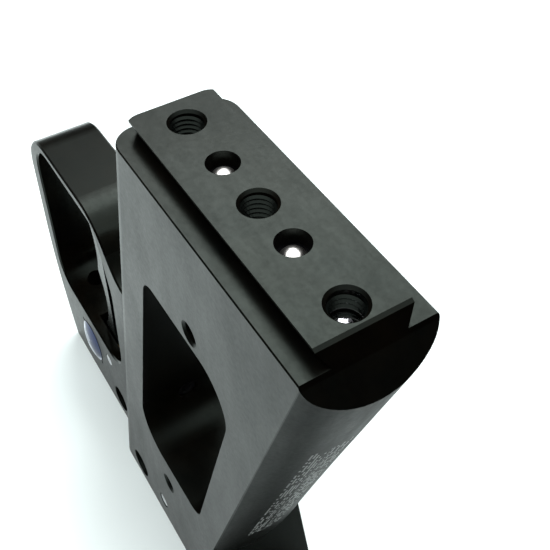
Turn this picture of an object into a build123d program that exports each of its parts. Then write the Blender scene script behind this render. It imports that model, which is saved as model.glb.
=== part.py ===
from build123d import *
import math
import os

# Trigger grip frame for an air-powered marker, standing upside down on its receiver rail.
# Millimetres. +Z is up, +X points to the rear (tang end), the trigger guard is at -X.
# The origin is the centre of the bounding box's footprint, on the rail's flat face.

# ---- driving dimensions -------------------------------------------------------------------
LENGTH = 120.0                 # guard front to tang tip
HEIGHT = 107.0                 # rail face to plate top
FRAME_W = 19.05                # three-quarter inch bar stock
HOUSING_W = 12.7               # guard and trigger housing
SLOT_W = 8.0                   # channel that holds trigger and sear

PLATE_W = 13.34                # dovetail plate, across its top
PLATE_BASE_W = 10.3            # across the bottom of the undercut
PLATE_H = 2.7
PLATE_LAND = 0.35              # vertical land above the undercut
PLATE_FRONT_X = 4.0
PLATE_CORNER_SPREAD = 1.1      # the front corners' arcs end this far outside the plate's sides
HOLE_PITCH = 19.05             # threaded holes, three in a line
HOLE_CENTRE_X = 28.2
BALL_HOLE_X = (19.2, 36.2)
THREAD_R = 2.41                # 10-32 outer thread radius
THREAD_CHAMFER_R = 2.82
THREAD_DEPTH = 12.0
SET_SCREW_Z = HEIGHT - 10.0                # underside of the screw in the rear hole
BALL_BORE_R = 2.4
BALL_BORE_DEPTH = 9.0

RAKE = math.tan(math.radians(12.0))        # front strap
BACK_RAKE = 0.339                          # edge between flat side and rounded back
SHOULDER_Z = HEIGHT - PLATE_H
STRAP_TOP_X = 2.7                          # front strap at shoulder height
BACK_TOP_X = 52.4                          # back edge of the flat side at shoulder height
BULGE_TOP = 4.6                            # how far the rounded back stands past that edge
BULGE_BOTTOM = 1.3
STRAP_R = 4.0
FULL_FROM_Z = 62.0                         # the back is a plain arc up to here and fills out above
HEEL_FULLNESS = 0.5                        # share of the way from that arc to half an ellipse
END_FACE_SLOPE = 0.48                      # the heel face leans out this much per mm down

RAIL_FRONT_X = -53.4
CHANNEL_Z = 14.0
GUARD_FLOOR_Z = 19.5

PIVOT = (-30.0, 14.7)                      # trigger pivot, x and z
PIVOT_PIN_R = 1.45
CAM = (-40.3, 10.7)
CAM_HEAD_R = 5.0
CAM_NOTCH = (4.2, -3.45)                   # the two pry notches lie this far either side of the cam
CAM_NOTCH_R = 0.55
CAM_STEM_R = 3.0
SEAR_PIVOT = (-9.0, 4.6)
SEAR_PIN_R = 2.4
RECESS_R = 3.1
STOP = (2.0, 5.8)
STOP_PIN_R = 1.6
EMPTY_PIN_HOLE = (-26.3, 4.6)
SPRING_POCKET_X = 9.5

RUNNING = 0.06                             # radial clearance of a turning or sliding fit
TRIGGER_W = 7.4
BUSHING_R = 2.3
BALL_R = 2.0
PLUNGER_DROP = 2.5                         # plunger face below the plate's top
PLUNGER_BORE_R = 2.05
SEAR_W = 6.0
RETURN_Z = 33.0
RETURN_BORE_R = 2.0
OVERTRAVEL_Z = 47.0

STOP_SCREW_R = 1.58
RAIL_SCREW_X = (-49.8, 47.0)
RAIL_SCREW_R = 2.2
PANEL_SCREW_R = 1.75
LOW_PANEL_HOLE = (24.35, 83.7)             # grip panel screws, side view
HIGH_PANEL_HOLE = (6.7, 19.2)
SNUG = 0.02                                # radial gap of a pin or screw in its hole

HALF_W = FRAME_W / 2
HOUSING_Y = HOUSING_W / 2
SLOT_Y = SLOT_W / 2
CAM_FLOOR_Y = -HOUSING_Y + 1.1             # floor of the cam head's counterbore
SEAR_RECESS = 1.5
SPRING_POCKET_R = 2.3
SPRING_TOP_Z = 22.0


def strap_x(z):
    """Front strap position at a height."""
    return STRAP_TOP_X - RAKE * (SHOULDER_Z - z)


def back_x(z):
    """Where the flat side ends and the rounded back begins."""
    return BACK_TOP_X - BACK_RAKE * (SHOULDER_Z - z)


def bulge(z):
    """Depth of the rounded back at a height."""
    return BULGE_BOTTOM + (BULGE_TOP - BULGE_BOTTOM) * z / SHOULDER_Z


def cylinder(radius, start, length, direction):
    """A cylinder of the given length from start along +X, +Y or +Z."""
    plane = Plane(origin=start, z_dir=direction)
    return extrude(plane * Circle(radius), length)


def across(radius, spot, y_from, y_to):
    """A cylinder along Y at a side-view spot (x, z)."""
    return cylinder(radius, (spot[0], y_from, spot[1]), y_to - y_from, (0, 1, 0))


def side_slab(face, width):
    """Extrude a side-view face (drawn as x, z) evenly to both sides of the centre plane."""
    return extrude(Plane.XZ * face, width / 2, both=True)


def side_polygon(points, radii=None):
    """A side-view polygon, with one corner radius per point where given."""
    face = make_face(Polyline(*points, close=True))
    for point, radius in zip(points, radii or []):
        if radius:
            corner = face.vertices().sort_by_distance((point[0], point[1], 0))[0]
            face = fillet(corner, radius)
    return face


def hex_socket(mouth, direction, size, depth):
    """A hexagonal socket, size across flats, cut from its mouth along a direction."""
    plane = Plane(origin=mouth, z_dir=direction)
    return extrude(plane * RegularPolygon(size / math.sqrt(3), 6), depth)


def coil(radius, wire_r, length, turns):
    """A compression spring along +Z from z = 0, its wire kept inside the length."""
    rise = length - 2 * wire_r
    path = Helix(pitch=rise / turns, height=rise, radius=radius - wire_r)
    section = Plane(origin=path @ 0, z_dir=path % 0) * Circle(wire_r)
    return Pos(0, 0, wire_r) * sweep(section, path=path)


# ---- grip frame ---------------------------------------------------------------------------
def fullness(z):
    """How far the back's curve is filled out past an arc: most at the heel, not at all low down."""
    return HEEL_FULLNESS * min(1.0, max(0.0, (z - FULL_FROM_Z) / (SHOULDER_Z - FULL_FROM_Z)))


def back_curve(rear, sagitta, fill):
    """The rounded back from the far side to the near side, between an arc and half an ellipse."""
    arc_r = (HALF_W**2 + sagitta**2) / (2 * sagitta)
    points = []
    for share in (1.0, 0.92, 0.7, 0.36, 0.0, -0.36, -0.7, -0.92, -1.0):
        y = share * HALF_W
        on_arc = math.sqrt(arc_r**2 - y**2) - arc_r + sagitta
        on_ellipse = sagitta * math.sqrt(1 - share**2)
        points.append((rear + on_arc + fill * (on_ellipse - on_arc), y))
    return [Spline(*points)]


def grip_section(z):
    """Horizontal section of the grip: flat strap, two corner radii, flat sides, rounded back."""
    front = strap_x(z)
    rear = back_x(z)
    inset = STRAP_R * (1 - math.sqrt(0.5))
    edges = [
        Line((rear, -HALF_W), (front + STRAP_R, -HALF_W)),
        ThreePointArc(
            (front + STRAP_R, -HALF_W), (front + inset, -HALF_W + inset), (front, -HALF_W + STRAP_R)
        ),
        Line((front, -HALF_W + STRAP_R), (front, HALF_W - STRAP_R)),
        ThreePointArc(
            (front, HALF_W - STRAP_R), (front + inset, HALF_W - inset), (front + STRAP_R, HALF_W)
        ),
        Line((front + STRAP_R, HALF_W), (rear, HALF_W)),
        *back_curve(rear, bulge(z), fullness(z)),
    ]
    return Pos(0, 0, z) * make_face(edges)


def grip_body():
    """The raked grip, from the rail to the shoulder."""
    return loft([grip_section(z) for z in (0, FULL_FROM_Z, SHOULDER_Z)], ruled=True)


def dovetail_plate():
    """The undercut plate along the grip's base, with a small bevel round its top."""
    top = PLATE_W / 2
    base = PLATE_BASE_W / 2
    outline = [
        (-base, SHOULDER_Z - 1),
        (-base, SHOULDER_Z),
        (-top, HEIGHT - PLATE_LAND),
        (-top, HEIGHT),
        (top, HEIGHT),
        (top, HEIGHT - PLATE_LAND),
        (base, SHOULDER_Z),
        (base, SHOULDER_Z - 1),
    ]
    profile = Plane.YZ * make_face(Polyline(*outline, close=True))
    length = BACK_TOP_X + 10 - PLATE_FRONT_X
    corner_r = 2.8
    plan = Rectangle(length, 2 * (top + PLATE_CORNER_SPREAD))
    plan = fillet(plan.vertices().sort_by(Axis.X)[:2], corner_r)
    outline = Pos(PLATE_FRONT_X + length / 2, 0, SHOULDER_Z - 2) * extrude(plan, 10)
    return Pos(PLATE_FRONT_X, 0, 0) * extrude(profile, length) & outline


def heel_cut():
    """Everything behind the leaning heel face."""
    top = HEIGHT + 1
    low = 80.0
    outline = [
        (52.0 + END_FACE_SLOPE * (SHOULDER_Z - top), top),
        (52.0 + END_FACE_SLOPE * (SHOULDER_Z - low), low),
        (90.0, low),
        (90.0, top),
    ]
    return side_slab(side_polygon(outline), 2 * FRAME_W)


def guard_outline():
    """Side view of the guard, trigger housing and rail, before the finger opening is cut."""
    front = -LENGTH / 2
    nose_r = 11.5
    nose_z = 51.5
    half_turn = math.sqrt(0.5)
    edges = [
        Line((30, 0), (RAIL_FRONT_X, 0)),
        ThreePointArc((RAIL_FRONT_X, 0), (-57.9, 15), (front, 34)),
        Line((front, 34), (front, nose_z)),
        ThreePointArc(
            (front, nose_z),
            (front + nose_r - nose_r * half_turn, nose_z + nose_r * half_turn),
            (front + nose_r, nose_z + nose_r),
        ),
        Line((front + nose_r, nose_z + nose_r), (-31, 63.8)),
        Spline(
            (-31, 63.8), (-21.4, 60.9), (-14.5, 54.6), (-7.0, 56.5), tangents=[(1, 0.05), (1, 0.7)]
        ),
        Line((-7.0, 56.5), (10, 60)),
        Line((10, 60), (30, 0)),
    ]
    return make_face(edges)


def housing_plan(z):
    """Plan of the narrow housing, its sides sweeping out to the grip's full width."""
    cove_r = 14.6
    full = -15.6 + 0.2485 * z
    start = full - math.sqrt(cove_r**2 - (cove_r - (HALF_W - HOUSING_Y)) ** 2)
    middle = (start + full) / 2
    depth = cove_r - math.sqrt(cove_r**2 - (middle - start) ** 2)
    far = 45.0
    edges = [
        Line((-70, -HOUSING_Y), (start, -HOUSING_Y)),
        ThreePointArc((start, -HOUSING_Y), (middle, -HOUSING_Y - depth), (full, -HALF_W)),
        Line((full, -HALF_W), (far, -HALF_W)),
        Line((far, -HALF_W), (far, HALF_W)),
        Line((far, HALF_W), (full, HALF_W)),
        ThreePointArc((full, HALF_W), (middle, HOUSING_Y + depth), (start, HOUSING_Y)),
        Line((start, HOUSING_Y), (-70, HOUSING_Y)),
        Line((-70, HOUSING_Y), (-70, -HOUSING_Y)),
    ]
    return Pos(0, 0, z) * make_face(edges)


def finger_opening():
    """Side view of the opening inside the guard."""
    points = [
        (-56.0, 61.2),
        (-24.2, 61.9),
        (-19.4, 47.5),
        (-21.2, GUARD_FLOOR_Z),
        (-55.4, GUARD_FLOOR_Z),
    ]
    return side_polygon(points, [9.0, 3.5, 12.0, 8.0, 6.0])


def housing_body():
    """Guard and trigger housing with the finger opening through it."""
    solid = side_slab(guard_outline(), FRAME_W)
    plan = loft([housing_plan(-1.0), housing_plan(70.0)], ruled=True)
    body = solid & plan
    body -= side_slab(finger_opening(), 2 * FRAME_W)
    rims = [
        edge
        for edge in body.edges()
        if abs(abs(edge.center().Y) - HOUSING_Y) < 0.01 and edge.bounding_box().max.X < -24.0
        and edge.center().Z > 0.5
    ]
    return chamfer(rims, 0.35)


def tang_body():
    """The tail at the rear of the rail, hollowed where the web of the hand goes, its top rounded over."""
    web_r = 9.0
    start = (24.6, 17.0)                   # where the web's curve leaves the grip's back
    centre = (start[0] + web_r * 0.937, start[1] - web_r * 0.35)
    low_z = centre[1] - web_r
    tip_x = LENGTH / 2
    outline = [
        (15, 0),
        (15, start[1]),
        start,
        centre,
        (tip_x, centre[1]),
        (tip_x, 0),
    ]
    half = HALF_W + 1.5
    fall = 2.4 * (half / HALF_W) ** 2      # how much lower the top lies at its sides
    hollow = make_face(
        [
            Line((-half, 0), (half, 0)),
            Line((half, 0), (half, -web_r - fall)),
            ThreePointArc((half, -web_r - fall), (0, -web_r), (-half, -web_r - fall)),
            Line((-half, -web_r - fall), (-half, 0)),
        ]
    )
    hollow = Pos(centre[0], 0, centre[1]) * (Plane.YZ * hollow)
    web = revolve(hollow, Axis((centre[0], 0, centre[1]), (0, 1, 0)), 360)
    top = extrude(hollow, tip_x, dir=(1, 0, 0))
    body = side_slab(side_polygon(outline), FRAME_W) - web - top
    plan = Pos((10 + tip_x) / 2, 0, 0) * Rectangle(tip_x - 10, FRAME_W)
    plan = fillet(plan.vertices().sort_by(Axis.X)[-2:], 6.0)
    tip_edge = Pos(tip_x, 0, low_z) * Rot(0, 45, 0) * Box(3.0, 2 * FRAME_W, 3.0)
    return (body & extrude(plan, 60)) - tip_edge


def window():
    """Side view of the weight-saving window through the grip."""
    points = [(9.2, 80.8), (36.4, 80.8), (20.0, 26.9), (-3.4, 26.9)]
    return side_polygon(points, [4.0, 7.0, 4.0, 7.0])


def mechanism_channel():
    """The channel for cam, trigger and sear, open at the rail face and up into the guard."""
    front = -46.6
    rear = 16.5
    toe_lift = 3.7
    channel = Pos((front + rear) / 2, 0, CHANNEL_Z / 2 - 1) * Box(rear - front, SLOT_W, CHANNEL_Z + 2)
    toe_room = Pos(-42.0, 0, CHANNEL_Z / 2 + toe_lift) * Box(9.2, SLOT_W, CHANNEL_Z)
    throat = Pos(-32.0, 0, GUARD_FLOOR_Z - 2) * Box(14.0, SLOT_W, 16.0)
    return channel + toe_room + throat


def threaded_hole(x):
    """A tapped hole in the plate with a bevelled mouth."""
    depth = THREAD_CHAMFER_R - THREAD_R
    drill = cylinder(THREAD_R, (x, 0, HEIGHT - THREAD_DEPTH), THREAD_DEPTH + 1, (0, 0, 1))
    mouth = Pos(x, 0, HEIGHT - depth / 2) * Cone(THREAD_R, THREAD_CHAMFER_R, depth)
    return drill + mouth


def side_hole(radius, spot, depth):
    """The same blind hole from both flat sides of the grip, with a bevelled mouth."""
    tool = None
    for side in (-1, 1):
        hole = Pos(spot[0], side * (HALF_W - depth / 2), spot[1]) * Rot(90, 0, 0)
        hole *= Cylinder(radius, depth)
        mouth = Pos(spot[0], side * (HALF_W - 0.2), spot[1]) * Rot(-90 * side, 0, 0)
        mouth *= Cone(radius, radius + 0.4, 0.4)
        tool = hole + mouth if tool is None else tool + hole + mouth
    return tool


def frame_bores():
    """All pin, screw and spring holes of the frame, as a list of tools."""
    near = -HALF_W
    tools = [threaded_hole(HOLE_CENTRE_X + step * HOLE_PITCH) for step in (-1, 0, 1)]
    for x in BALL_HOLE_X:
        floor = (x, 0, HEIGHT - BALL_BORE_DEPTH)
        tools.append(cylinder(BALL_BORE_R, floor, BALL_BORE_DEPTH + 1, (0, 0, 1)))
    tools.append(side_hole(PANEL_SCREW_R, LOW_PANEL_HOLE, 6.0))
    tools.append(side_hole(PANEL_SCREW_R, HIGH_PANEL_HOLE, 4.5))
    tools.append(across(PIVOT_PIN_R + SNUG, PIVOT, near, HALF_W))
    tools.append(across(CAM_STEM_R + RUNNING, CAM, near, HALF_W))
    tools.append(across(CAM_HEAD_R + 0.15, CAM, near, CAM_FLOOR_Y))
    for side in (-1, 1):
        notch = (CAM[0] + side * CAM_NOTCH[0], CAM[1] + side * CAM_NOTCH[1])
        tools.append(across(CAM_NOTCH_R, notch, near, CAM_FLOOR_Y))
    tools.append(across(RECESS_R, EMPTY_PIN_HOLE, near, HALF_W))
    tools.append(across(SEAR_PIN_R + SNUG, SEAR_PIVOT, near, HALF_W))
    tools.append(across(RECESS_R, SEAR_PIVOT, near, near + SEAR_RECESS))
    tools.append(across(STOP_PIN_R + SNUG, STOP, near, HALF_W))
    pocket_floor = CHANNEL_Z - 1
    pocket = (SPRING_POCKET_X, 0, pocket_floor)
    tools.append(cylinder(SPRING_POCKET_R, pocket, SPRING_TOP_Z - pocket_floor, (0, 0, 1)))
    tools.append(cylinder(RETURN_BORE_R, (-26.0, 0, RETURN_Z), 30.0, (1, 0, 0)))
    tools.append(cylinder(STOP_SCREW_R + SNUG, (-26.0, 0, OVERTRAVEL_Z), 14.0, (1, 0, 0)))
    for x in RAIL_SCREW_X:
        tools.append(cylinder(RAIL_SCREW_R, (x, 0, -1), 24.0, (0, 0, 1)))
    return tools


def grip_frame():
    """The whole machined frame."""
    body = grip_body() + tang_body() + housing_body() + dovetail_plate()
    body -= heel_cut()
    plate_end = body.edges().filter_by(Axis.Y).sort_by_distance((BACK_TOP_X, 0, HEIGHT))[0]
    body = chamfer(plate_end, 0.35)
    middle_x = (STRAP_TOP_X + BACK_TOP_X) / 2
    shoulder_rims = [
        body.edges().filter_by(Axis.X).sort_by_distance((middle_x, side * HALF_W, SHOULDER_Z))[0]
        for side in (-1, 1)
    ]
    body = chamfer(shoulder_rims, 0.18)
    body -= side_slab(window(), 2 * FRAME_W)
    body -= mechanism_channel()
    for tool in frame_bores():
        body -= tool
    return body


# ---- trigger group --------------------------------------------------------------------------
def trigger():
    """Two-finger blade with its hub, the toe over the cam and the arm over the sear."""
    hub_r = 4.6
    blade = make_face(
        [
            ThreePointArc((-36.6, 56.6), (-33.2, 47.4), (-33.9, 40.8)),
            ThreePointArc((-33.9, 40.8), (-34.2, 39.3), (-33.8, 37.8)),
            ThreePointArc((-33.8, 37.8), (-32.3, 30.2), (-33.2, 25.0)),
            ThreePointArc((-33.2, 25.0), (-34.0, 22.9), (-35.3, 21.3)),
            Line((-35.3, 21.3), (-34.6, 15.0)),
            Line((-34.6, 15.0), (-27.0, 14.0)),
            Line((-27.0, 14.0), (-30.6, 23.0)),
            ThreePointArc((-30.6, 23.0), (-30.3, 35.0), (-30.7, 48.0)),
            ThreePointArc((-30.7, 48.0), (-31.7, 53.8), (-33.6, 58.3)),
            ThreePointArc((-33.6, 58.3), (-36.1, 58.8), (-36.6, 56.6)),
        ]
    )
    toe = side_polygon(
        [(-30, 18.5), (-36.5, 16.4), (-43.0, 16.1), (-43.0, 13.7), (-36.5, 13.3), (-30, 10.8)]
    )
    arm = side_polygon(
        [(-30, 18.4), (-26.2, 15.2), (-24.4, 12.8), (-17.6, 11.2)]
        + [(-17.6, 8.3), (-20.5, 8.3), (-30, 10.6)]
    )
    body = side_slab(blade, TRIGGER_W) + side_slab(toe, SEAR_W) + side_slab(arm, SEAR_W)
    body += across(hub_r, PIVOT, -TRIGGER_W / 2, TRIGGER_W / 2)
    return body - across(BUSHING_R + SNUG, PIVOT, -TRIGGER_W, TRIGGER_W)


def trigger_bushings():
    """Two flanged bushings, one from each side of the trigger's hub."""
    parts = []
    for side in (-1, 1):
        inner, outer = sorted((side * 1.0, side * TRIGGER_W / 2))
        flange_from, flange_to = sorted((side * (TRIGGER_W / 2 + 0.02), side * (SLOT_Y - 0.06)))
        sleeve = across(BUSHING_R, PIVOT, min(inner, flange_from), max(outer, flange_to))
        flange = across(3.3, PIVOT, flange_from, flange_to)
        parts.append(sleeve + flange - across(PIVOT_PIN_R + RUNNING, PIVOT, -SLOT_Y, SLOT_Y))
    return Compound(children=parts)


def plain_pin(radius, spot, y_from, y_to, bevel):
    """A dowel pin along Y with bevelled ends."""
    pin = across(radius, spot, y_from, y_to)
    return chamfer(pin.edges().filter_by(GeomType.CIRCLE), bevel)


def pretravel_cam():
    """Domed dial with a stem in each wall and an eccentric lobe between."""
    rim_y = -HOUSING_Y - 0.1
    dome = 1.0
    sphere_r = (CAM_HEAD_R**2 + dome**2) / (2 * dome)
    spot = (CAM[0], 0, CAM[1])
    head = across(CAM_HEAD_R, CAM, rim_y - 2, CAM_FLOOR_Y - 0.05)
    head &= Pos(CAM[0], rim_y - dome + sphere_r, CAM[1]) * Sphere(sphere_r)
    near_stem = across(CAM_STEM_R, CAM, CAM_FLOOR_Y - 0.1, -SLOT_Y + 0.1)
    lobe = across(1.8, (CAM[0], CAM[1] + 0.5), -SLOT_Y, SLOT_Y)
    far_stem = across(CAM_STEM_R, CAM, SLOT_Y - 0.1, HOUSING_Y - 0.1)
    thread = across(1.02, CAM, 1.5, HOUSING_Y)
    return head + near_stem + lobe + far_stem - thread


def cam_screw():
    """Low-head screw that keeps the cam in its bore from the far side."""
    head = across(4.0, CAM, HOUSING_Y + 0.05, HOUSING_Y + 1.3)
    head = chamfer(head.edges().filter_by(GeomType.CIRCLE).sort_by(Axis.Y)[-1], 0.4)
    shank = across(1.0, CAM, 2.0, HOUSING_Y + 0.5)
    return head + shank - hex_socket((CAM[0], HOUSING_Y + 1.3, CAM[1]), (0, -1, 0), 2.0, 0.8)


def set_screw(radius, start, length, direction):
    """A headless socket screw; its socket is at the far end of the direction."""
    body = cylinder(radius, start, length, direction)
    body = chamfer(body.edges().filter_by(GeomType.CIRCLE), 0.25)
    end = tuple(s + length * d for s, d in zip(start, direction))
    back = tuple(-d for d in direction)
    return body - hex_socket(end, back, radius, min(2.0, length / 2))


def return_plunger():
    """Sliding pin whose round nose pushes on the back of the blade."""
    nose_r = 1.5
    tip = -30.25
    nose = Pos(tip + nose_r, 0, RETURN_Z) * Sphere(nose_r)
    neck = cylinder(nose_r, (tip + nose_r, 0, RETURN_Z), 10.4, (1, 0, 0))
    guide = cylinder(RETURN_BORE_R - RUNNING, (-19.0, 0, RETURN_Z), 5.0, (1, 0, 0))
    return nose + neck + guide


def return_spring():
    """Compression spring between the plunger and its set screw."""
    return Pos(-14.0, 0, RETURN_Z) * Rot(0, 90, 0) * coil(1.7, 0.25, 7.4, 6)


def return_set_screw():
    """Backs the return spring; turned from inside the window."""
    return set_screw(RETURN_BORE_R - SNUG, (-6.5, 0, RETURN_Z), 4.5, (1, 0, 0))


def overtravel_screw():
    """Stops the blade's back; it stands out of the housing behind the blade."""
    return set_screw(STOP_SCREW_R, (-27.4, 0, OVERTRAVEL_Z), 14.9, (1, 0, 0))


# ---- sear group -----------------------------------------------------------------------------
def sear():
    """Lever on the sear pin: front arm under the trigger's arm, hook at its rear end."""
    outline = [
        (-19.6, 8.0),
        (-9.0, 8.5),
        (-5.0, 10.9),
        (13.2, 10.9),
        (13.2, 3.0),
        (10.6, 3.0),
        (9.4, 7.55),
        (-4.0, 7.55),
        (-6.0, 2.2),
        (-12.0, 2.2),
        (-19.6, 4.6),
    ]
    body = side_slab(side_polygon(outline), SEAR_W)
    body += across(3.9, SEAR_PIVOT, -SLOT_Y + 0.2, SLOT_Y - 0.2)
    return body - across(SEAR_PIN_R + RUNNING, SEAR_PIVOT, -SLOT_Y, SLOT_Y)


def sear_pin():
    """Pin through the frame and sear, its near end sunk in a round recess."""
    return plain_pin(SEAR_PIN_R, SEAR_PIVOT, -HALF_W + 0.8, HALF_W - 0.15, 0.35)


def sear_stop_pin():
    """Pin under the sear's rear arm that the sear spring holds the arm against."""
    return plain_pin(STOP_PIN_R, STOP, -HALF_W + 0.1, HALF_W - 0.1, 0.25)


def sear_spring():
    """Compression spring between its pocket's roof and the sear's rear arm."""
    return Pos(SPRING_POCKET_X, 0, 10.95) * coil(1.95, 0.3, SPRING_TOP_Z - 11.0, 7)


# ---- dovetail plate hardware ----------------------------------------------------------------
def plunger_body(x):
    """Sleeve of one ball plunger, its mouth drawn in to hold the ball."""
    floor = HEIGHT - BALL_BORE_DEPTH
    mouth = HEIGHT - PLUNGER_DROP
    lip = 0.7
    sleeve = cylinder(BALL_BORE_R - SNUG, (x, 0, floor + 0.02), mouth - floor - 0.02, (0, 0, 1))
    sleeve -= cylinder(PLUNGER_BORE_R, (x, 0, floor + 1.2), mouth - lip - floor - 1.2, (0, 0, 1))
    return sleeve - Pos(x, 0, mouth - lip / 2) * Cone(PLUNGER_BORE_R, 1.88, lip)


def plunger_bodies():
    """Both plunger sleeves."""
    return Compound(children=[plunger_body(x) for x in BALL_HOLE_X])


def plunger_ball(x):
    """Polished ball of one plunger."""
    return Pos(x, 0, HEIGHT - PLUNGER_DROP - 0.78) * Sphere(BALL_R)


def plunger_spring(x):
    """Spring under one ball."""
    floor = HEIGHT - BALL_BORE_DEPTH + 1.25
    top = HEIGHT - PLUNGER_DROP - 2.5
    return Pos(x, 0, floor) * coil(1.5, 0.2, top - floor, 4)


def base_set_screw():
    """Bare steel screw seated deep in the rear plate hole."""
    x = HOLE_CENTRE_X + HOLE_PITCH
    return set_screw(THREAD_R - SNUG, (x, 0, SET_SCREW_Z), 6.0, (0, 0, 1))


PARTS = {
    "grip_frame": grip_frame,
    "trigger": trigger,
    "trigger_bushings": trigger_bushings,
    "trigger_pivot_pin": lambda: plain_pin(PIVOT_PIN_R, PIVOT, -HOUSING_Y + 0.02, HOUSING_Y - 0.02, 0.2),
    "pretravel_cam": pretravel_cam,
    "cam_screw": cam_screw,
    "return_plunger": return_plunger,
    "return_spring": return_spring,
    "return_set_screw": return_set_screw,
    "overtravel_screw": overtravel_screw,
    "sear": sear,
    "sear_pin": sear_pin,
    "sear_stop_pin": sear_stop_pin,
    "sear_spring": sear_spring,
    "plunger_bodies": plunger_bodies,
    "front_plunger_ball": lambda: plunger_ball(BALL_HOLE_X[0]),
    "rear_plunger_ball": lambda: plunger_ball(BALL_HOLE_X[1]),
    "front_plunger_spring": lambda: plunger_spring(BALL_HOLE_X[0]),
    "rear_plunger_spring": lambda: plunger_spring(BALL_HOLE_X[1]),
    "base_set_screw": base_set_screw,
}

os.makedirs("parts", exist_ok=True)
for name, make in PARTS.items():
    export_step(make(), f"parts/{name}.step")
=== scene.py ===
import math

import bmesh
import bpy
from mathutils import Euler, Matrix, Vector


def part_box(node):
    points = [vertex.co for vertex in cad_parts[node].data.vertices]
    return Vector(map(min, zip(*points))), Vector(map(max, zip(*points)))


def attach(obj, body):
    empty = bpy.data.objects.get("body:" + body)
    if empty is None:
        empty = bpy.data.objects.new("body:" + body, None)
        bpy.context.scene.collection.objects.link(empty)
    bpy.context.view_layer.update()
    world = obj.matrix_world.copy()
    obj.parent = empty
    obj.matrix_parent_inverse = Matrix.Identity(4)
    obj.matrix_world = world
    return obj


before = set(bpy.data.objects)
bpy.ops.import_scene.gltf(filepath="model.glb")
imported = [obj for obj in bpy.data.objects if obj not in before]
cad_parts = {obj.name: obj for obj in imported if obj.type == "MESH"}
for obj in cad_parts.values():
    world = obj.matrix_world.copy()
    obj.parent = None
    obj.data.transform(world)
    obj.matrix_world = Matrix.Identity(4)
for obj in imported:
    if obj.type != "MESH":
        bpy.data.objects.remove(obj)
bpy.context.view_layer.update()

# Trigger grip frame standing upside down on its receiver rail. Metres, +Z up.
MM = 0.001
PLATE_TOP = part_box("grip_frame")[1][2]
FRONT_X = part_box("grip_frame")[0][0]
REAR_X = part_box("grip_frame")[1][0]
BAND_RUN = (30.0, 81.0)                    # how far up the back the etched bands run, in mm
BAND_SPANS = ((-4.6, -2.15), (-1.7, 1.8))  # the two bands across the back, in mm
MARK_COLOUR = (0.42, 0.43, 0.42)
BACK_RAKE = 0.339
BACK_X = 17.2                              # the rounded back starts at x = BACK_X + BACK_RAKE z, mm
GUARD_X = (-57.5, -19.0)                   # the guard's inner faces lie between these limits, in mm
GUARD_Y = (-6.3, 6.3)
GUARD_Z = (19.2, 62.0)
CAM_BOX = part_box("pretravel_cam")
CAM_CENTRE = [(CAM_BOX[0][axis] + CAM_BOX[1][axis]) / 2 / MM for axis in (0, 2)]


# ---- small helpers for node materials --------------------------------------------------------
def new_material(name):
    """A node material with its principled shader; returns both and the node tree."""
    material = bpy.data.materials.new(name)
    material.use_nodes = True
    tree = material.node_tree
    return material, tree, tree.nodes["Principled BSDF"]


def object_coords(tree, scale=(1, 1, 1)):
    """Object coordinates, stretched by a scale."""
    coords = tree.nodes.new("ShaderNodeTexCoord")
    mapping = tree.nodes.new("ShaderNodeMapping")
    mapping.inputs["Scale"].default_value = scale
    tree.links.new(coords.outputs["Object"], mapping.inputs["Vector"])
    return mapping.outputs["Vector"]


def noise(tree, vector, scale, detail=4.0, roughness=0.6):
    """A noise value between 0 and 1."""
    node = tree.nodes.new("ShaderNodeTexNoise")
    node.inputs["Scale"].default_value = scale
    node.inputs["Detail"].default_value = detail
    node.inputs["Roughness"].default_value = roughness
    tree.links.new(vector, node.inputs["Vector"])
    return node.outputs["Fac"]


def ramp(tree, value, low, high, start=0.3, end=0.7):
    """Maps a value's range from start to end to a range of grey, as a socket."""
    node = tree.nodes.new("ShaderNodeMapRange")
    node.inputs["From Min"].default_value = start
    node.inputs["From Max"].default_value = end
    node.inputs["To Min"].default_value = low
    node.inputs["To Max"].default_value = high
    tree.links.new(value, node.inputs["Value"])
    return node.outputs["Result"]


def tint(tree, factor, dark, light):
    """A colour between dark and light."""
    node = tree.nodes.new("ShaderNodeMix")
    node.data_type = "RGBA"
    node.inputs["A"].default_value = (*dark, 1)
    node.inputs["B"].default_value = (*light, 1)
    tree.links.new(factor, node.inputs["Factor"])
    return node.outputs["Result"]


def tint_over(tree, factor, below, colour):
    """A colour laid over a colour socket by a mask."""
    node = tree.nodes.new("ShaderNodeMix")
    node.data_type = "RGBA"
    tree.links.new(below, node.inputs["A"])
    node.inputs["B"].default_value = (*colour, 1)
    tree.links.new(factor, node.inputs["Factor"])
    return node.outputs["Result"]


def bump(tree, shader, height, distance, strength=1.0, below=None):
    """Adds a height to the shader's normal; below is the bump node it lies on."""
    node = tree.nodes.new("ShaderNodeBump")
    node.inputs["Distance"].default_value = distance
    node.inputs["Strength"].default_value = strength
    tree.links.new(height, node.inputs["Height"])
    if below is not None:
        tree.links.new(below.outputs["Normal"], node.inputs["Normal"])
    tree.links.new(node.outputs["Normal"], shader.inputs["Normal"])
    return node


def calc(tree, operation, first, second):
    """One math node; each operand is a socket or a number."""
    node = tree.nodes.new("ShaderNodeMath")
    node.operation = operation
    for socket, operand in zip(node.inputs, (first, second)):
        if isinstance(operand, (int, float)):
            socket.default_value = operand
        else:
            tree.links.new(operand, socket)
    return node.outputs["Value"]


def inside(tree, value, limits):
    """1 where a value lies between two limits, else 0."""
    above = calc(tree, "GREATER_THAN", value, limits[0])
    below = calc(tree, "LESS_THAN", value, limits[1])
    return calc(tree, "MULTIPLY", above, below)


def multiply(tree, *factors):
    """The product of several sockets."""
    product = factors[0]
    for factor in factors[1:]:
        product = calc(tree, "MULTIPLY", product, factor)
    return product


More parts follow.
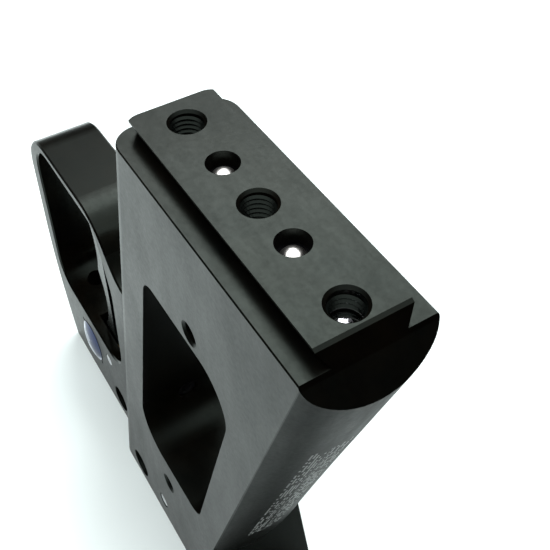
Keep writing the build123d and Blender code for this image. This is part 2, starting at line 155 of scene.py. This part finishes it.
def place_in_mm(tree):
    """Object coordinates in millimetres, as separate x, y and z sockets."""
    split = tree.nodes.new("ShaderNodeSeparateXYZ")
    tree.links.new(object_coords(tree, (1000, 1000, 1000)), split.inputs["Vector"])
    return split.outputs["X"], split.outputs["Y"], split.outputs["Z"]


def rounded_back(tree, x, z):
    """1 on the rounded back, behind the flat side's raked edge."""
    unraked = calc(tree, "SUBTRACT", x, calc(tree, "MULTIPLY", z, BACK_RAKE))
    return calc(tree, "GREATER_THAN", unraked, BACK_X)


def guard_inside(tree, x, y, z):
    """1 on the inner faces of the trigger guard."""
    return multiply(
        tree, inside(tree, x, GUARD_X), inside(tree, y, GUARD_Y), inside(tree, z, GUARD_Z)
    )


def etched_dashes(tree, y, z):
    """Two bands of plain dashes along the rounded back, as a mask. Sizes are in mm."""
    place = tree.nodes.new("ShaderNodeCombineXYZ")
    tree.links.new(z, place.inputs["X"])
    tree.links.new(y, place.inputs["Y"])
    brick = tree.nodes.new("ShaderNodeTexBrick")
    brick.inputs["Scale"].default_value = 1.0
    brick.inputs["Brick Width"].default_value = 0.85
    brick.inputs["Row Height"].default_value = 0.5
    brick.inputs["Mortar Size"].default_value = 0.11
    brick.inputs["Color1"].default_value = (1, 1, 1, 1)
    brick.inputs["Color2"].default_value = (0, 0, 0, 1)
    tree.links.new(place.outputs["Vector"], brick.inputs["Vector"])
    share_left_out = 0.42
    kept = calc(tree, "GREATER_THAN", brick.outputs["Color"], share_left_out)
    dashes = calc(tree, "GREATER_THAN", kept, brick.outputs["Fac"])
    first_band, second_band = (inside(tree, y, span) for span in BAND_SPANS)
    bands = calc(tree, "ADD", first_band, second_band)
    return multiply(tree, dashes, bands, inside(tree, z, BAND_RUN))


# ---- materials -------------------------------------------------------------------------------
def anodised(name, dark, light, rough, machined=False):
    """Dull hard-anodised aluminium with cloudy dye, fine grain and faint machining streaks.

    The machined frame also has a duller back with etched marks, and a smoother guard inside.
    """
    material, tree, shader = new_material(name)
    clouds = noise(tree, object_coords(tree), 110.0, 6.0, 0.65)
    speckle = noise(tree, object_coords(tree), 1500.0, 3.0)
    streaks = noise(tree, object_coords(tree, (3, 9, 1)), 60.0, 3.0)
    dye = tint(tree, ramp(tree, clouds, 0, 1), dark, light)
    streaky = ramp(tree, streaks, rough - 0.03, rough + 0.04)
    rough_value = calc(tree, "ADD", streaky, ramp(tree, speckle, -0.03, 0.03))
    if machined:
        x, y, z = place_in_mm(tree)
        back = rounded_back(tree, x, z)
        marks = multiply(tree, back, etched_dashes(tree, y, z))
        dye = tint_over(tree, marks, dye, MARK_COLOUR)
        duller_back = calc(tree, "MULTIPLY", back, 0.18)
        smoother_guard = calc(tree, "MULTIPLY", guard_inside(tree, x, y, z), -0.13)
        change = calc(tree, "ADD", duller_back, smoother_guard)
        rough_value = calc(tree, "ADD", rough_value, change)
    tree.links.new(dye, shader.inputs["Base Color"])
    tree.links.new(rough_value, shader.inputs["Roughness"])
    shader.inputs["Specular IOR Level"].default_value = 0.13
    shader.inputs["Specular Tint"].default_value = (0.80, 1.0, 0.88, 1)
    fine = bump(tree, shader, speckle, 0.015 * MM, 0.5)
    bump(tree, shader, clouds, 0.04 * MM, 0.3, fine)
    return material


def steel_painted_light_and_shade(name, centre, painted_highlight, painted_shade_blue):
    """Polished steel in two halves with a mottled border: the pale half is a painted highlight, and
    the dark blue half is a painted dark reflection over the steel's blue tint.
    """
    material, tree, shader = new_material(name)
    shader.inputs["Metallic"].default_value = 1.0
    shader.inputs["Roughness"].default_value = 0.16
    painted_shade_side = (0.64, 0.77)                   # direction in x and z towards the half with the painted dark reflection
    x, _, z = place_in_mm(tree)
    mottle = ramp(tree, noise(tree, object_coords(tree), 420.0, 5.0), -2.0, 2.0)
    across_x = calc(tree, "MULTIPLY", calc(tree, "SUBTRACT", x, centre[0]), painted_shade_side[0])
    across_z = calc(tree, "MULTIPLY", calc(tree, "SUBTRACT", z, centre[1]), painted_shade_side[1])
    across = calc(tree, "ADD", across_x, across_z)
    highlight_to_shade = ramp(tree, calc(tree, "ADD", across, mottle), 0, 1, -1.2, 1.6)
    tree.links.new(tint(tree, highlight_to_shade, painted_highlight, painted_shade_blue), shader.inputs["Base Color"])
    return material


def steel(name, colour, rough, spread):
    """Bare steel with fine wear in its gloss."""
    material, tree, shader = new_material(name)
    shader.inputs["Metallic"].default_value = 1.0
    worn = noise(tree, object_coords(tree), 700.0, 4.0)
    darker = tuple(c * 0.82 for c in colour)
    tree.links.new(tint(tree, worn, darker, colour), shader.inputs["Base Color"])
    tree.links.new(ramp(tree, worn, rough, rough + spread), shader.inputs["Roughness"])
    bump(tree, shader, noise(tree, object_coords(tree), 3000.0, 2.0), 0.01 * MM, 0.2)
    return material


BLACK_DYE = (0.0002, 0.0003, 0.0003)
LOOKS = {
    "frame": anodised("frame_anodised", BLACK_DYE, (0.0026, 0.0018, 0.0010), 0.33, machined=True),
    "trigger": anodised("trigger_anodised", BLACK_DYE, (0.0010, 0.0012, 0.0012), 0.22),
    "thread": anodised("thread_anodised", (0.001, 0.0014, 0.0013), (0.004, 0.005, 0.0045), 0.22),
    "polished": steel("polished_steel", (0.86, 0.86, 0.88), 0.07, 0.06),
    "ball": steel("ball_steel", (0.90, 0.89, 0.86), 0.26, 0.05),
    # The cam's pale half is a painted highlight and its dark blue half is painted shade; only the
    # blue tint is the cam's own colour.
    "cam": steel_painted_light_and_shade("cam_steel_painted_light_and_shade", CAM_CENTRE, (0.78, 0.80, 0.92), (0.02, 0.03, 0.08)),
    # The plunger bodies' near-black colour is painted shade that stands in for the shadow around
    # the balls in their holes.
    "plunger": steel("plunger_steel_painted_shade", (0.02, 0.02, 0.022), 0.30, 0.12),
    "ground": steel("ground_steel", (0.62, 0.62, 0.64), 0.22, 0.12),
    "black": steel("black_oxide_steel", (0.10, 0.10, 0.105), 0.32, 0.12),
    "wire": steel("spring_wire", (0.48, 0.48, 0.50), 0.25, 0.1),
    "bronze": steel("bushing_bronze", (0.55, 0.37, 0.17), 0.3, 0.12),
}
LOOK_OF = {
    "grip_frame": "frame",
    "trigger": "trigger",
    "trigger_bushings": "bronze",
    "trigger_pivot_pin": "ground",
    "pretravel_cam": "cam",
    "cam_screw": "black",
    "return_plunger": "ground",
    "return_spring": "wire",
    "return_set_screw": "black",
    "overtravel_screw": "black",
    "sear": "black",
    "sear_pin": "ground",
    "sear_stop_pin": "ground",
    "sear_spring": "wire",
    "plunger_bodies": "plunger",
    "front_plunger_ball": "ball",
    "rear_plunger_ball": "ball",
    "front_plunger_spring": "wire",
    "rear_plunger_spring": "wire",
    "base_set_screw": "polished",
}


def dress(node, look):
    """Gives a carried-over node its material."""
    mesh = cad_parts[node].data
    mesh.materials.clear()
    mesh.materials.append(LOOKS[look])


for node, look in LOOK_OF.items():
    dress(node, look)


# ---- screw threads in the plate's holes ------------------------------------------------------
def plate_thread(name, x, low, high):
    """The ridge of an internal 10-32 thread, standing in from the hole's wall."""
    wall, crest, pitch = 2.40 * MM, 2.07 * MM, 0.794 * MM
    steps = 32
    count = round((high - low - pitch) / pitch * steps)
    mesh = bmesh.new()
    rings = []
    for index in range(count + 1):
        angle = 2 * math.pi * index / steps
        middle = low + pitch / 2 + pitch * index / steps
        fade = min(1.0, index / (steps / 3), (count - index) / (steps / 3))
        reach = wall - (wall - crest) * fade
        ring = []
        for radius, rise in ((wall, -0.44), (reach, -0.08), (reach, 0.08), (wall, 0.44)):
            place = (x + radius * math.cos(angle), radius * math.sin(angle), middle + rise * pitch)
            ring.append(mesh.verts.new(place))
        rings.append(ring)
    for ring, after in zip(rings, rings[1:]):
        for corner in range(4):
            following = (corner + 1) % 4
            mesh.faces.new((ring[corner], ring[following], after[following], after[corner]))
    mesh.faces.new(rings[0])
    mesh.faces.new(reversed(rings[-1]))
    bmesh.ops.recalc_face_normals(mesh, faces=mesh.faces)
    data = bpy.data.meshes.new(name)
    mesh.to_mesh(data)
    mesh.free()
    data.materials.append(LOOKS["thread"])
    thread = bpy.data.objects.new(name, data)
    bpy.context.collection.objects.link(thread)
    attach(thread, "frame")


SCREW_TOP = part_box("base_set_screw")[1][2]
SCREW_X = sum(corner[0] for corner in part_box("base_set_screw")) / 2
HOLE_PITCH = 19.05 * MM
THREAD_TOP = PLATE_TOP - 0.45 * MM
THREAD_LOW = PLATE_TOP - 11.5 * MM
plate_thread("front_plate_thread", SCREW_X - 2 * HOLE_PITCH, THREAD_LOW, THREAD_TOP)
plate_thread("middle_plate_thread", SCREW_X - HOLE_PITCH, THREAD_LOW, THREAD_TOP)
plate_thread("rear_plate_thread", SCREW_X, SCREW_TOP + 0.1 * MM, THREAD_TOP)


# ---- floor, light and camera -----------------------------------------------------------------
def floor():
    """A plain white sheet under the part, ending short of the viewer."""
    near_edge = REAR_X + 40 * MM
    far_edge = FRONT_X - 700 * MM
    half_width = 600 * MM
    corners = [
        (far_edge, -half_width, 0),
        (near_edge, -half_width, 0),
        (near_edge, half_width, 0),
        (far_edge, half_width, 0),
    ]
    mesh = bpy.data.meshes.new("white_sheet")
    mesh.from_pydata(corners, [], [(0, 1, 2, 3)])
    sheet = bpy.data.objects.new("white_sheet", mesh)
    bpy.context.collection.objects.link(sheet)
    material, tree, shader = new_material("white_paper")
    shader.inputs["Base Color"].default_value = (0.80, 0.89, 0.88, 1)
    shader.inputs["Roughness"].default_value = 0.9
    mesh.materials.append(material)


def soft_light(name, place, aim, size, watts):
    """A square area light at a place, aimed at a point."""
    data = bpy.data.lights.new(name, "AREA")
    data.size = size
    data.energy = watts
    lamp = bpy.data.objects.new(name, data)
    lamp.location = place
    lamp.rotation_euler = (Vector(aim) - Vector(place)).to_track_quat("-Z", "Y").to_euler()
    bpy.context.collection.objects.link(lamp)


def sky(bright, dark):
    """Soft light from overhead: bright towards the zenith, dark from low on the horizon down."""
    world = bpy.data.worlds.new("overhead_tent")
    world.use_nodes = True
    tree = world.node_tree
    coords = tree.nodes.new("ShaderNodeTexCoord")
    split = tree.nodes.new("ShaderNodeSeparateXYZ")
    tree.links.new(coords.outputs["Generated"], split.inputs["Vector"])
    height = tree.nodes.new("ShaderNodeMapRange")
    height.interpolation_type = "SMOOTHSTEP"
    height.inputs["From Min"].default_value = 0.45
    height.inputs["From Max"].default_value = 0.80
    height.inputs["To Min"].default_value = dark
    height.inputs["To Max"].default_value = bright
    tree.links.new(split.outputs["Z"], height.inputs["Value"])
    background = tree.nodes["Background"]
    background.inputs["Color"].default_value = (1, 1, 1, 1)
    tree.links.new(height.outputs["Result"], background.inputs["Strength"])
    bpy.context.scene.world = world


def camera():
    """The viewer above the heel of the grip; the picture is the lower part of the lens's view."""
    data = bpy.data.cameras.new("view")
    focal_in_widths = 1.7196
    data.sensor_width = 36.0
    data.lens = focal_in_widths * data.sensor_width
    data.shift_y = -0.227
    data.clip_start = 0.01
    eye = bpy.data.objects.new("view", data)
    eye.location = (101.89 * MM, -42.31 * MM, 187.90 * MM)
    tilt, roll, heading = (math.radians(degrees) for degrees in (49.58, 0.52, 58.26))
    eye.rotation_euler = Euler((tilt, roll, heading), "XYZ")
    bpy.context.collection.objects.link(eye)
    bpy.context.scene.camera = eye


floor()
soft_light("far_window", (-0.52, 0.34, 0.87), (0.03, 0, 0.10), 0.45, 6.4)
sky(2.4, 0.001)
camera()
bpy.context.scene.view_settings.view_transform = "Standard"
